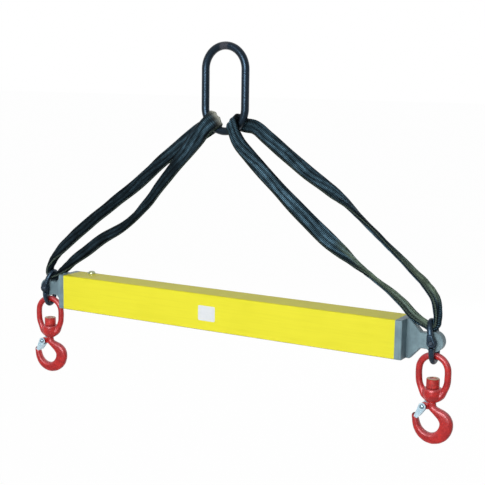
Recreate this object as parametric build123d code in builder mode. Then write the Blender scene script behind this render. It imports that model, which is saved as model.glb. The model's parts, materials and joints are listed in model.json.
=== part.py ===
from build123d import *
import os
from math import cos, hypot, radians, sin, tan

os.makedirs("parts", exist_ok=True)

# A lifting spreader beam: an oblong master link carries two endless roundslings, one to each
# end of a composite box beam. A coupling link at each end joins the sling, the beam's lug and
# a swivel hook. Millimetres, +Z up. The origin is where a crane hook bears on the master link.
# X runs along the beam, and the front is -Y. "drop" is a distance below the pin line.

# ---- driving dimensions -------------------------------------------------------------------

hook_spread = 914.4           # pin to pin along the beam
hang = 526.0                  # from the bearing point of the master link down to the pin line

link_wire = 15.9              # master link
link_inside_width = 76.2
link_inside_length = 152.4
link_hold_angle = 43.0        # where each sling sits, measured round from the bottom of the link

tube_height = 75.0            # composite box beam
tube_width = 64.0
tube_wall = 6.0
tube_corner = 3.0

plate_thickness = 14.0        # aluminium end fittings
plate_edge = 1.0
lug_reach = 52.0              # plate face to pin
lug_thickness = 16.0
lug_root = 6.0                # full height part of the lug, beside the plate
lug_neck_height = 30.0
lug_eye_radius = 19.0
lug_taper = 21.0              # length of the taper from full height to the neck
lug_edge = 1.5
spigot_length = 62.0
spigot_wall = 8.0
spigot_fit = 0.25             # glue line all round inside the tube

screw_diameter = 6.0          # countersunk screws, tube to spigot, on the underside
screw_head_diameter = 11.5
screw_head_depth = 2.8
screw_places = (18.0, 44.0)   # from the end of the tube
round_screw_diameter = 6.0    # the one round head on the top face
round_head_diameter = 16.0
round_head_height = 5.5
round_head_crown = 4.5         # rounding of the head's rim
round_screw_inset = 36.0
round_screw_offset = 22.0

label_width = 40.0            # blank self-adhesive label on the front face
label_height = 31.0
label_thickness = 0.4
label_corner = 3.0
label_x = -19.0
label_rise = -1.5

pin_diameter = 8.0            # coupling load pin
pin_running_fit = 0.08        # gap all round where a piece turns on the pin
coupling_bar = 10.5
coupling_reach = 33.0         # pin centre to the inside of the crown
coupling_leg_centres = 33.0
ear_radius = 8.2
ear_thickness = 6.5
ear_to_lug = 1.0
ear_to_ear = 0.6
ear_to_leg = 2.0
ear_edge = 1.2
roll_pin_diameter = 3.0
upper_lean = {"left": 18.0, "right": 12.0}    # how far each upper half leans in to its sling

bail_bar = 12.5               # swivel bail
bail_width = 68.8
bail_clear = 0.3              # bail to crown
bail_side = 23.0              # straight side below the round top
bail_foot_half = 17.0         # where the two sides meet the boss
bail_foot_drop = 101.0
bail_knee_radius = 20.0
bail_toe = (11.0, 108.0)      # end of each side, inside the boss's cone
boss_top_drop = 88.0
boss_bottom_drop = 115.0
boss_radius = 18.0
boss_bottom_radius = 9.0
boss_rim = (2.0, 5.0)         # width and height of the slope round its top
boss_cone_drop = 104.0        # where it starts to narrow
shank_radius = 6.5
shank_running_fit = 0.08
swivel_gap = 0.3              # end play of the swivel, at each end of the boss
swivel_nut_radius = 12.4
swivel_nut_height = 18.0
swivel_nut_edge = 1.2
nut_pin_diameter = 4.0
nut_pin_inset = 0.4           # each end below the nut's side
shank_below_nut = 0.6         # shank end below the nut's top
hook_turn = {"left": 9.0, "right": 0.0}       # how far each hook and bail stand turned

neck_radius = 7.5             # hook
neck_length = 5.5
throat_radius = 20.0
throat_centre = (-3.5, -154.0)                # from the hook's axis and the pin line
bowl_depth = 20.5             # metal under the throat
bowl_back_shift = 6.0         # how much thicker the back is than the tip side
bowl_trim = 1.5               # how much the outside is smaller than throat and metal together
throat_arc = (20.0, 187.0)    # where the round throat starts and ends
back_arc = (180.0, 36.0)      # where the round back starts and ends
neck_bow = (0.7, 1.5)         # how far the hollow under the neck stands off a straight line
throat_shoulder = 6.0         # neck end to the start of the slope into the throat
hook_thickness = 17.0
hook_edge = 4.5
tip_width = 10.0
tip_rise = 14.0               # tip above the middle of the throat
latch_pivot = (-16.0, -124.0)
latch_ear_radius = 6.0
latch_ear_thickness = 8.0

latch_sheet = 1.6             # latch
latch_gap = 0.5
latch_eye_radius = 7.0
latch_length = 25.5
latch_end_half = 3.4
latch_web_rise = 1.0          # how much the web stands further in at the pivot end
latch_direction = (-0.490, -0.872)
latch_head_taper = 20.0
latch_bolt_diameter = 5.0
latch_bolt_fit = 0.08
latch_head_radius = 4.6
latch_head_height = 2.6
latch_nut_height = 3.5
spring_wire = 1.2
spring_radius = 4.4
spring_reach = 15.0           # pivot to the end of its arms

sling_diameter = 16.0         # roundsling
sling_cover = 1.2
sling_link_gap = 2.6          # loop to link wire, so the link can tip in its slings
sling_crown_gap = 1.2
sling_flat_width = 16.0       # where it is bunched under the coupling's crown
sling_flat_thickness = 11.0
sling_flat_corner = 4.4
sling_bend_share = 0.45       # share of the shorter run that each bend may take up
sling_loop_share = 0.98
# each leg's bows, as (share of the way down, distance off the straight line, + is up)
sling_bows = {
    ("left", "front"): [(0.15, -11.0), (0.32, -26.0), (0.48, -35.0), (0.64, -26.0), (0.83, -11.0)],
    ("left", "rear"): [(0.15, 12.0), (0.35, 18.5), (0.55, 26.0), (0.74, 32.0), (0.89, 30.0)],
    ("right", "front"): [(0.12, -18.0), (0.34, -26.5), (0.58, -27.5), (0.77, -18.0), (0.90, -13.0)],
    ("right", "rear"): [(0.12, 21.0), (0.31, 29.0), (0.50, 43.0), (0.68, 45.5), (0.86, 43.0)],
}

# ---- worked out from the above ------------------------------------------------------------

pin_z = -hang
sides = {"left": -1, "right": 1}
plate_face = hook_spread / 2 - lug_reach
tube_length = 2 * (plate_face - plate_thickness)
link_radius = (link_inside_width + link_wire) / 2
link_half_side = (link_inside_length - link_inside_width) / 2
link_centre_z = link_wire / 2 - link_radius - link_half_side
crown_centre = coupling_reach + coupling_bar / 2
leg_offset = coupling_leg_centres / 2
inner_ear_face = lug_thickness / 2 + ear_to_lug
outer_ear_face = inner_ear_face + ear_thickness + ear_to_ear
pin_length = 2 * (outer_ear_face + ear_thickness)


def upright(x, turn=0.0):
    """Upright plane through the pin line at x, facing the front, turned about the vertical."""
    across = (cos(radians(turn)), sin(radians(turn)), 0)
    return Plane(origin=(x, 0, pin_z), x_dir=across, z_dir=(across[1], -across[0], 0))


def save(made, name):
    made.part.label = name
    export_step(made.part, f"parts/{name}.step")


# ---- master link --------------------------------------------------------------------------

with BuildPart() as master_link:
    with BuildLine(Plane.XZ) as ring:
        top = link_centre_z + link_half_side
        bottom = link_centre_z - link_half_side
        Line((link_radius, bottom), (link_radius, top))
        ThreePointArc((link_radius, top), (0, top + link_radius), (-link_radius, top))
        Line((-link_radius, top), (-link_radius, bottom))
        ThreePointArc((-link_radius, bottom), (0, bottom - link_radius), (link_radius, bottom))
    with BuildSketch(Plane(origin=ring.wire() @ 0, z_dir=ring.wire() % 0)):
        Circle(link_wire / 2)
    sweep(path=ring.wire())
save(master_link, "master_link")

# ---- beam tube and its label --------------------------------------------------------------

with BuildPart() as beam_tube:
    with BuildSketch(Plane(origin=(-tube_length / 2, 0, pin_z), x_dir=(0, 1, 0), z_dir=(1, 0, 0))):
        RectangleRounded(tube_width, tube_height, tube_corner)
        RectangleRounded(tube_width - 2 * tube_wall, tube_height - 2 * tube_wall,
                         tube_corner / 2, mode=Mode.SUBTRACT)
    extrude(amount=tube_length)
    for side in sides.values():
        for place in screw_places:
            x = side * (tube_length / 2 - place)
            with Locations(Location((x, 0, pin_z - tube_height / 2), (180, 0, 0))):
                CounterSinkHole(screw_diameter / 2, screw_head_diameter / 2, depth=tube_wall)
    with Locations((-tube_length / 2 + round_screw_inset, round_screw_offset, pin_z + tube_height / 2)):
        Hole(round_screw_diameter / 2, depth=tube_wall)
save(beam_tube, "beam_tube")

with BuildPart() as blank_label:
    with BuildSketch(upright(label_x).offset(tube_width / 2)):
        with Locations((0, label_rise)):
            RectangleRounded(label_width, label_height, label_corner)
    extrude(amount=label_thickness)
save(blank_label, "blank_label")

# ---- end fittings: plate, lug and spigot --------------------------------------------------

spigot_height = tube_height - 2 * tube_wall - 2 * spigot_fit
spigot_width = tube_width - 2 * tube_wall - 2 * spigot_fit
tongue_height = spigot_height - 2 * spigot_wall


def fitting_plane(side, distance):
    """Plane across the beam, facing outwards, at a distance out from the plate's inner face."""
    x = side * (tube_length / 2 + distance)
    return Plane(origin=(x, 0, pin_z), x_dir=(0, side, 0), z_dir=(side, 0, 0))


def make_end_plate(side):
    with BuildPart() as plate:
        with BuildSketch(fitting_plane(side, 0)):
            RectangleRounded(tube_width, tube_height, tube_corner)
            Rectangle(lug_thickness, tongue_height, mode=Mode.SUBTRACT)
        extrude(amount=plate_thickness)
        outer_face = plate.faces().sort_by(Axis.X)[-1 if side > 0 else 0]
        chamfer(outer_face.outer_wire().edges(), plate_edge)
    return plate


def make_lug(side):
    half = tube_height / 2
    neck = lug_neck_height / 2
    root = -lug_reach + lug_root
    waist = root + lug_taper
    inside = -lug_reach - plate_thickness - spigot_length
    with BuildPart() as lug:
        with BuildSketch(upright(side * hook_spread / 2)) as outline:
            with BuildLine():
                Polyline((-lug_reach, half), (root, half), (waist, neck), (0, neck), (0, -neck),
                         (waist, -neck), (root, -half), (-lug_reach, -half), close=True)
            make_face()
            Circle(lug_eye_radius)
            Circle(pin_diameter / 2 + pin_running_fit, mode=Mode.SUBTRACT)
            if side < 0:
                mirror(about=Plane.YZ, mode=Mode.REPLACE)
        extrude(amount=lug_thickness / 2, both=True)
        flat_faces = lug.faces().filter_by(Axis.Y)
        chamfer(flat_faces.edges().filter_by(lambda e: e.center().Z != pin_z), lug_edge)
        with BuildSketch(upright(side * hook_spread / 2)):
            with Locations((-side * (lug_reach + (plate_thickness + spigot_length) / 2), 0)):
                Rectangle(plate_thickness + spigot_length, tongue_height)
        extrude(amount=lug_thickness / 2, both=True)
    return lug


def make_spigot(side):
    with BuildPart() as spigot:
        with BuildSketch(fitting_plane(side, -spigot_length)):
            RectangleRounded(spigot_width, spigot_height, tube_corner / 2)
            Rectangle(spigot_width - 2 * spigot_wall, tongue_height, mode=Mode.SUBTRACT)
        extrude(amount=spigot_length)
        for place in screw_places:
            with Locations(Location((side * (tube_length / 2 - place), 0, pin_z - spigot_height / 2),
                                    (180, 0, 0))):
                Hole(screw_diameter / 2, depth=spigot_wall)
        if side < 0:
            with Locations((-tube_length / 2 + round_screw_inset, round_screw_offset,
                            pin_z + spigot_height / 2)):
                Hole(round_screw_diameter / 2, depth=spigot_wall)
    return spigot


def make_fitting_screws(side):
    length = tube_wall + spigot_fit + spigot_wall
    underside = Plane(origin=(0, 0, pin_z - tube_height / 2), x_dir=(1, 0, 0), z_dir=(0, 0, 1))
    places = [(side * (tube_length / 2 - place), 0) for place in screw_places]
    with BuildPart() as screws:
        with BuildSketch(underside):
            with Locations(*places):
                Circle(screw_diameter / 2)
        extrude(amount=length)
        with BuildSketch(underside):
            with Locations(*places):
                Circle(screw_head_diameter / 2)
        extrude(amount=screw_head_depth, taper=45)
    return screws


for name, side in sides.items():
    save(make_end_plate(side), f"end_plate_{name}")
    save(make_lug(side), f"lug_{name}")
    save(make_spigot(side), f"spigot_{name}")
    save(make_fitting_screws(side), f"fitting_screws_{name}")

with BuildPart() as round_screw:
    seat = Plane(origin=(-tube_length / 2 + round_screw_inset, round_screw_offset,
                         pin_z + tube_height / 2))
    with BuildSketch(seat):
        Circle(round_screw_diameter / 2)
    extrude(amount=-(tube_wall + spigot_fit + spigot_wall))
    with BuildSketch(seat):
        Circle(round_head_diameter / 2)
    extrude(amount=round_head_height)
    fillet(round_screw.edges().sort_by(Axis.Z)[-1], round_head_crown)
save(round_screw, "round_screw")

# ---- coupling links -----------------------------------------------------------------------


def make_ear(x, start, over):
    """One ear of a coupling half, from y = start towards the front, tapering into its leg."""
    leg_top = ear_radius + ear_to_leg + coupling_bar / 2
    with BuildPart() as ear:
        with BuildSketch(Plane(origin=(x, start, pin_z), x_dir=over, z_dir=(0, -1, 0))):
            Circle(ear_radius)
            with BuildLine():
                Polyline((-ear_radius, 0), (ear_radius, 0), (coupling_bar / 2, leg_top),
                         (-coupling_bar / 2, leg_top), close=True)
            make_face()
        extrude(amount=ear_thickness)
        chamfer(ear.faces().filter_by(Axis.Y).edges(), ear_edge)
    return ear


def make_coupling_half(x, lean, front_ear, rear_ear):
    """One forged half: a bar bent round a crown, ending in two ears that turn on the pin.

    lean turns the crown from straight up towards +X. Each ear is "inner", beside the lug, or
    "outer", outside the other half's ear.
    """
    up = (sin(radians(lean)), 0, cos(radians(lean)))
    over = (up[2], 0, -up[0])
    leg_start = ear_radius + ear_to_leg
    shoulder = crown_centre - leg_offset
    with BuildPart() as half:
        with BuildLine(Plane(origin=(x, 0, pin_z), x_dir=(0, 1, 0), z_dir=over)) as bar:
            Line((leg_offset, leg_start), (leg_offset, shoulder))
            ThreePointArc((leg_offset, shoulder), (0, crown_centre), (-leg_offset, shoulder))
            Line((-leg_offset, shoulder), (-leg_offset, leg_start))
        with BuildSketch(Plane(origin=bar.wire() @ 0, z_dir=bar.wire() % 0)):
            Circle(coupling_bar / 2)
        sweep(path=bar.wire())
        faces = {"inner": inner_ear_face, "outer": outer_ear_face}
        starts = (-faces[front_ear], faces[rear_ear] + ear_thickness)
        for start in starts:
            add(make_ear(x, start, over).part)
        with BuildSketch(Plane(origin=(x, 0, pin_z), x_dir=over, z_dir=(0, -1, 0))):
            Circle(pin_diameter / 2 + pin_running_fit)
        extrude(amount=pin_length, both=True, mode=Mode.SUBTRACT)
    return half


def make_load_pin(x):
    with BuildPart() as pin:
        with BuildSketch(upright(x)):
            Circle(pin_diameter / 2)
        extrude(amount=pin_length / 2, both=True)
        chamfer(pin.edges(), ear_edge)
    return pin


def make_roll_pin(x, lean):
    """Roll pin down through the upper half's front ear and the load pin."""
    y = -(outer_ear_face + ear_thickness / 2)
    up = (sin(radians(lean)), 0, cos(radians(lean)))
    with BuildPart() as roll_pin:
        with BuildSketch(Plane(origin=(x, y, pin_z), x_dir=(0, 1, 0), z_dir=up)):
            Circle(roll_pin_diameter / 2)
        extrude(amount=ear_radius, both=True)
    return roll_pin


for name, side in sides.items():
    x = side * hook_spread / 2
    lean = -side * upper_lean[name]
    roll_pin = make_roll_pin(x, lean + 90)
    upper = make_coupling_half(x, lean, "outer", "inner")
    with BuildPart() as coupling_upper:
        add(upper.part)
        add(roll_pin.part, mode=Mode.SUBTRACT)
    with BuildPart() as load_pin:
        add(make_load_pin(x).part)
        add(roll_pin.part, mode=Mode.SUBTRACT)
    save(coupling_upper, f"coupling_upper_{name}")
    save(load_pin, f"load_pin_{name}")
    save(roll_pin, f"load_pin_lock_{name}")
    save(make_coupling_half(x, 180, "inner", "outer"), f"coupling_lower_{name}")

# ---- swivel bail, nut and hook ------------------------------------------------------------

bail_half = (bail_width - bail_bar) / 2
bail_top_drop = coupling_reach - bail_clear - bail_bar / 2
bail_arc_drop = bail_top_drop + bail_half
nut_bottom_drop = boss_top_drop - swivel_gap
nut_top_drop = nut_bottom_drop - swivel_nut_height
neck_top_drop = boss_bottom_drop + swivel_gap


def make_bail(x, turn):
    face = upright(x, turn)
    knee = bail_arc_drop + bail_side
    with BuildPart() as bail:
        with BuildLine(face) as bar:
            ThreePointArc((-bail_half, -bail_arc_drop), (0, -bail_top_drop), (bail_half, -bail_arc_drop))
            FilletPolyline((bail_half, -bail_arc_drop), (bail_half, -knee),
                           (bail_foot_half, -bail_foot_drop), (bail_toe[0], -bail_toe[1]),
                           radius=bail_knee_radius)
            FilletPolyline((-bail_half, -bail_arc_drop), (-bail_half, -knee),
                           (-bail_foot_half, -bail_foot_drop), (-bail_toe[0], -bail_toe[1]),
                           radius=bail_knee_radius)
        with BuildSketch(Plane(origin=bar.wire() @ 0, z_dir=bar.wire() % 0)):
            Circle(bail_bar / 2)
        sweep(path=bar.wire())
        with BuildSketch(face):
            with BuildLine():
                Polyline((0, -boss_top_drop), (boss_radius - boss_rim[0], -boss_top_drop),
                         (boss_radius, -boss_top_drop - boss_rim[1]), (boss_radius, -boss_cone_drop),
                         (boss_bottom_radius, -boss_bottom_drop), (0, -boss_bottom_drop), close=True)
            make_face()
        revolve(axis=Axis((x, 0, pin_z), (0, 0, 1)))
        with BuildSketch(Plane(origin=(x, 0, pin_z - boss_bottom_drop))):
            Circle(shank_radius + shank_running_fit)
        extrude(amount=boss_bottom_drop - boss_top_drop, mode=Mode.SUBTRACT)
        with BuildSketch(Plane(origin=(x, 0, pin_z - boss_top_drop))):
            Circle(boss_radius)
        extrude(amount=swivel_nut_height, mode=Mode.SUBTRACT)
    return bail


def make_swivel_nut(x, turn):
    with BuildPart() as nut:
        with BuildSketch(Plane(origin=(x, 0, pin_z - nut_bottom_drop))):
            Circle(swivel_nut_radius)
            Circle(shank_radius, mode=Mode.SUBTRACT)
        extrude(amount=swivel_nut_height)
        rims = nut.edges().filter_by(GeomType.CIRCLE).sort_by(lambda e: e.radius)[-2:]
        chamfer(rims, swivel_nut_edge)
        add(nut_pin_shape(x, turn).part, mode=Mode.SUBTRACT)
    return nut


def nut_pin_shape(x, turn):
    height = pin_z - (nut_top_drop + nut_bottom_drop) / 2
    along = (cos(radians(turn)), sin(radians(turn)), 0)
    with BuildPart() as nut_pin:
        with BuildSketch(Plane(origin=(x, 0, height), x_dir=(0, 0, 1), z_dir=along)):
            Circle(nut_pin_diameter / 2)
        extrude(amount=swivel_nut_radius - nut_pin_inset, both=True)
    return nut_pin


def hook_outline():
    """The hook seen from the front, on the pin line and its own axis."""
    cx, cz = throat_centre
    bx = cx + bowl_back_shift
    outer = throat_radius + bowl_depth - bowl_trim
    bz = cz - bowl_trim
    neck_z = -(neck_top_drop + neck_length)

    def on(radius, centre, angle):
        return (centre[0] + radius * cos(radians(angle)), centre[1] + radius * sin(radians(angle)))

    inner_start, inner_end = (on(throat_radius, (cx, cz), angle) for angle in throat_arc)
    outer_start, outer_end = (on(outer, (bx, bz), angle) for angle in back_arc)
    tip_left = outer_start[0] - bowl_trim
    tip_shoulder = cz + tip_rise - tip_width / 2
    throat_top = (-neck_radius, neck_z - throat_shoulder)
    Line((-neck_radius, -neck_top_drop), throat_top)
    Line(throat_top, inner_start)
    ThreePointArc(inner_start, on(throat_radius, (cx, cz), -80), inner_end)
    Line(inner_end, (tip_left + tip_width, tip_shoulder))
    ThreePointArc((tip_left + tip_width, tip_shoulder), (tip_left + tip_width / 2, cz + tip_rise),
                  (tip_left, tip_shoulder))
    Line((tip_left, tip_shoulder), outer_start)
    ThreePointArc(outer_start, on(outer, (bx, bz), -72), outer_end)
    hollow = ((outer_end[0] + neck_radius) / 2 + neck_bow[0], (outer_end[1] + neck_z) / 2 + neck_bow[1])
    ThreePointArc(outer_end, hollow, (neck_radius, neck_z))
    Line((neck_radius, neck_z), (neck_radius, -neck_top_drop))
    Line((neck_radius, -neck_top_drop), (-neck_radius, -neck_top_drop))


# The forging is made flat at the origin, x across, y up and z to the front, then stood in place.
with BuildPart() as hook_blank:
    with BuildSketch():
        with BuildLine():
            hook_outline()
        make_face()
    extrude(amount=hook_thickness / 2, both=True)
    rim = hook_blank.faces().filter_by(Axis.Z).edges()
    fillet(rim.filter_by(lambda e: e.center().Y < -neck_top_drop), hook_edge)
    px, pz = latch_pivot
    with BuildSketch():
        with Locations(latch_pivot):
            Circle(latch_ear_radius)
        with BuildLine():
            Polyline((px, pz + latch_ear_radius), (0, pz + latch_ear_radius),
                     (0, pz - latch_ear_radius), (px, pz - latch_ear_radius), close=True)
        make_face()
    extrude(amount=latch_ear_thickness / 2, both=True)
    with BuildSketch():
        with Locations(latch_pivot):
            Circle(latch_bolt_diameter / 2)
    extrude(amount=hook_thickness, both=True, mode=Mode.SUBTRACT)


def make_hook(x, turn):
    with BuildPart() as hook:
        add(upright(x, turn).location * hook_blank.part)
        with BuildSketch(Plane(origin=(x, 0, pin_z - neck_top_drop - shank_radius))):
            Circle(shank_radius)
        extrude(amount=neck_top_drop + shank_radius - nut_top_drop - shank_below_nut)
        add(nut_pin_shape(x, turn).part, mode=Mode.SUBTRACT)
    return hook


def latch_frame():
    """Unit directions along the latch and towards the throat, seen from the front."""
    size = hypot(*latch_direction)
    dx, dz = latch_direction[0] / size, latch_direction[1] / size
    return (dx, dz), (-dz, dx)


def latch_point(along, inward):
    (dx, dz), (nx, nz) = latch_frame()
    px, pz = latch_pivot
    return (px + along * dx + inward * nx, pz + along * dz + inward * nz)


def make_latch(x, turn):
    """Sheet metal channel: two cheeks beside the hook, joined by a web on the throat side."""
    face = upright(x, turn)
    inside = hook_thickness / 2 + latch_gap
    end, half = latch_length, latch_end_half
    with BuildPart() as latch:
        for lift in (inside, -inside - latch_sheet):
            with BuildSketch(face.offset(lift)):
                with Locations(latch_pivot):
                    Circle(latch_eye_radius)
                with BuildLine():
                    Polyline(latch_point(0, -latch_eye_radius), latch_point(end, -half),
                             latch_point(end, half), latch_point(0, latch_eye_radius), close=True)
                make_face()
                with Locations(latch_pivot):
                    Circle(latch_bolt_diameter / 2 + latch_bolt_fit, mode=Mode.SUBTRACT)
            extrude(amount=latch_sheet)
        with BuildSketch(face):
            with BuildLine():
                start = latch_eye_radius + latch_sheet
                high = half + latch_web_rise
                Polyline(latch_point(start, high), latch_point(end, half),
                         latch_point(end, half - latch_sheet), latch_point(start, high - latch_sheet),
                         close=True)
            make_face()
        extrude(amount=inside, both=True)
    return latch


def make_latch_bolt(x, turn):
    cheek = hook_thickness / 2 + latch_gap + latch_sheet
    with BuildPart() as bolt:
        with BuildSketch(upright(x, turn)):
            with Locations(latch_pivot):
                Circle(latch_bolt_diameter / 2)
        extrude(amount=cheek + latch_nut_height, both=True)
        with BuildSketch(upright(x, turn).offset(cheek)):
            with Locations(latch_pivot):
                Circle(latch_head_radius)
        extrude(amount=latch_head_height, taper=latch_head_taper)
        with BuildSketch(upright(x, turn).offset(cheek + latch_head_height)):
            with Locations(latch_pivot):
                Circle(latch_head_radius)
        extrude(amount=latch_nut_height, mode=Mode.SUBTRACT)
    return bolt


def make_latch_nut(x, turn):
    cheek = hook_thickness / 2 + latch_gap + latch_sheet
    with BuildPart() as nut:
        with BuildSketch(upright(x, turn).offset(-cheek - latch_nut_height)):
            with Locations(latch_pivot):
                RegularPolygon(latch_head_radius, 6)
                Circle(latch_bolt_diameter / 2, mode=Mode.SUBTRACT)
        extrude(amount=latch_nut_height)
    return nut


def make_latch_spring(x, turn):
    """Double torsion spring: a coil each side of the hook's ear, joined across the latch's web."""
    face = upright(x, turn)
    inside = hook_thickness / 2
    coil = inside - latch_ear_thickness / 2 - 2 * latch_gap
    reach = spring_reach
    arm = latch_end_half - latch_sheet - spring_wire
    with BuildPart() as spring:
        for lift in (inside - coil - latch_gap, -inside + latch_gap):
            with BuildSketch(face.offset(lift)):
                with Locations(latch_pivot):
                    Circle(spring_radius)
                    Circle(spring_radius - spring_wire, mode=Mode.SUBTRACT)
            extrude(amount=coil)
        for lift in (inside - latch_gap - spring_wire, -inside + latch_gap):
            with BuildSketch(face.offset(lift)):
                with BuildLine():
                    Polyline(latch_point(0, arm), latch_point(reach, arm),
                             latch_point(reach, arm - spring_wire), latch_point(0, arm - spring_wire),
                             close=True)
                make_face()
                with Locations(latch_pivot):
                    Circle(spring_radius - spring_wire, mode=Mode.SUBTRACT)
            extrude(amount=spring_wire)
        with BuildSketch(face):
            with BuildLine():
                Polyline(latch_point(reach - spring_wire, arm), latch_point(reach, arm),
                         latch_point(reach, arm - spring_wire),
                         latch_point(reach - spring_wire, arm - spring_wire), close=True)
            make_face()
        extrude(amount=inside - latch_gap, both=True)
    return spring


for name, side in sides.items():
    x = side * hook_spread / 2
    turn = hook_turn[name]
    save(make_bail(x, turn), f"swivel_bail_{name}")
    save(make_swivel_nut(x, turn), f"swivel_nut_{name}")
    save(nut_pin_shape(x, turn), f"nut_pin_{name}")
    save(make_hook(x, turn), f"hook_{name}")
    save(make_latch(x, turn), f"latch_{name}")
    save(make_latch_bolt(x, turn), f"latch_bolt_{name}")
    save(make_latch_nut(x, turn), f"latch_nut_{name}")
    save(make_latch_spring(x, turn), f"latch_spring_{name}")

# ---- roundslings --------------------------------------------------------------------------


def make_sling(name, side, inset):
    """Endless sling: round legs, over the link's wire and flat under the coupling's crown.

    inset shrinks the section all round, which gives the yarn core inside the cover.
    """
    hold = radians(link_hold_angle)
    lean = radians(-side * upper_lean[name])
    top = Vector(side * link_radius * sin(hold), 0,
                 link_centre_z - link_half_side - link_radius * cos(hold))
    crown = Vector(side * hook_spread / 2 + crown_centre * sin(lean), 0,
                   pin_z + crown_centre * cos(lean))
    down = (crown - top).normalized()
    off = Vector(-side * down.Z, 0, side * down.X)
    length = (crown - top).length
    radius = sling_diameter / 2
    loop = link_wire / 2 + sling_link_gap + radius
    beside = coupling_bar / 2 + sling_crown_gap + radius
    outboard = Vector(side * cos(lean), 0, -side * sin(lean))

    def leg(place, facing):
        return [top + down * (share * length) + off * bow + Vector(0, facing * loop * (1 - share), 0)
                for share, bow in sling_bows[name, place]]

    over = top - down * loop
    points = [crown - outboard * beside, *reversed(leg("front", -1)),
              over + Vector(0, -loop, 0), over + Vector(0, loop, 0),
              *leg("rear", 1), crown + outboard * beside]
    radii = []
    for before, here, after in zip(points, points[1:], points[2:]):
        turn = (here - before).get_angle(after - here)
        shorter = min((here - before).length, (after - here).length)
        radii.append(sling_bend_share * shorter / tan(radians(turn / 2)))
    corner = len(sling_bows[name, "front"])
    radii[corner] = radii[corner + 1] = loop * sling_loop_share
    with BuildPart() as sling:
        with BuildLine() as path:
            FilletPolyline(*points, radius=radii)
        with BuildSketch(Plane(origin=path.wire() @ 0, z_dir=path.wire() % 0)):
            Circle(radius - inset)
        sweep(path=path.wire())
        ring = coupling_bar / 2 + sling_crown_gap + sling_flat_thickness / 2
        across = Plane(origin=crown, x_dir=outboard, z_dir=outboard.cross(Vector(0, 1, 0)))
        with BuildSketch(across):
            with Locations((ring, 0)):
                RectangleRounded(sling_flat_thickness - 2 * inset, sling_flat_width - 2 * inset,
                                 sling_flat_corner - inset)
        revolve(axis=Axis(crown, (0, side, 0)), revolution_arc=180)
    print(name, "sling", round(path.wire().length), "mm,", len(sling.solids()), "solid")
    return sling


for name, side in sides.items():
    whole = make_sling(name, side, 0)
    core = make_sling(name, side, sling_cover)
    with BuildPart() as cover:
        add(whole.part)
        add(core.part, mode=Mode.SUBTRACT)
    save(cover, f"sling_cover_{name}")
    save(core, f"sling_core_{name}")
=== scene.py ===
import json
from math import atan2, cos, pi, radians, sin

import bmesh
import bpy
import numpy as np
from mathutils import Matrix, Vector


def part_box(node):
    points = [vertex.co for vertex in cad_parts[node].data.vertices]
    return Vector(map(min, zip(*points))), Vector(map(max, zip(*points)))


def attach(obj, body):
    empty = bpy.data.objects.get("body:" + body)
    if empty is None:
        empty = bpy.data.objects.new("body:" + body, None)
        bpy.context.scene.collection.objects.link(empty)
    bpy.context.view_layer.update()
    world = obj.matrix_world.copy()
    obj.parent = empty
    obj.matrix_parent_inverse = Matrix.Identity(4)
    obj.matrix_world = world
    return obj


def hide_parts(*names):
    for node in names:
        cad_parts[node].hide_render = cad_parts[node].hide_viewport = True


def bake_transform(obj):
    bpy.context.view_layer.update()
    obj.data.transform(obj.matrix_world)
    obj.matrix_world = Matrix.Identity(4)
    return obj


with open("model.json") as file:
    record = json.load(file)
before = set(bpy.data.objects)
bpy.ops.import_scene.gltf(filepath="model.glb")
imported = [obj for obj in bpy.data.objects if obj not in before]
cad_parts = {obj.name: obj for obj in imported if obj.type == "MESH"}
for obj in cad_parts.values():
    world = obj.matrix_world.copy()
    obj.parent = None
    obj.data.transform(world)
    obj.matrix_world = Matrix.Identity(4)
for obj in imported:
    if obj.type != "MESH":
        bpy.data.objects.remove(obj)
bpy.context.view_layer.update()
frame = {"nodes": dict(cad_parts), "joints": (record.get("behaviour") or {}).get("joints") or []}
nodes = frame["nodes"]
joints = {joint["name"]: joint for joint in frame["joints"]}
# the shapes of slings, hooks and bails are in millimetres and degrees, everything else in metres
mm = 0.001
sides = {"left": -1, "right": 1}
print("frame loaded")


def smoothThrough(knots, values, at):
    # a cubic between neighbours; the slope at a knot is the mean of the slopes on its two sides,
    # each weighted by the gap on the other side
    knots = np.asarray(knots, float)
    values = np.asarray(values, float).reshape(len(knots), -1)
    gap = np.diff(knots)[:, None]
    rise = np.diff(values, axis=0) / gap
    slope = np.empty_like(values)
    slope[1:-1] = (rise[:-1] * gap[1:] + rise[1:] * gap[:-1]) / (gap[:-1] + gap[1:])
    slope[0], slope[-1] = rise[0], rise[-1]
    i = np.clip(np.searchsorted(knots, at, side="right") - 1, 0, len(gap) - 1)
    h = gap[i]
    t = (np.asarray(at) - knots[i])[:, None] / h
    return ((2 * t**3 - 3 * t**2 + 1) * values[i] + (t**3 - 2 * t**2 + t) * h * slope[i]
            + (3 * t**2 - 2 * t**3) * values[i + 1] + (t**3 - t**2) * h * slope[i + 1])


def unit(rows):
    return rows / np.linalg.norm(rows, axis=-1, keepdims=True)


def gridFaces(rows, columns, rowsClosed=False):
    # quads between ring i and ring i + 1, every ring closed on itself
    i = np.arange(rows if rowsClosed else rows - 1)[:, None]
    j = np.arange(columns)[None, :]
    here, after = i * columns, (i + 1) % rows * columns
    beside = (j + 1) % columns
    return np.stack([here + j, here + beside, after + beside, after + j], -1).reshape(-1, 4)


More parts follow.
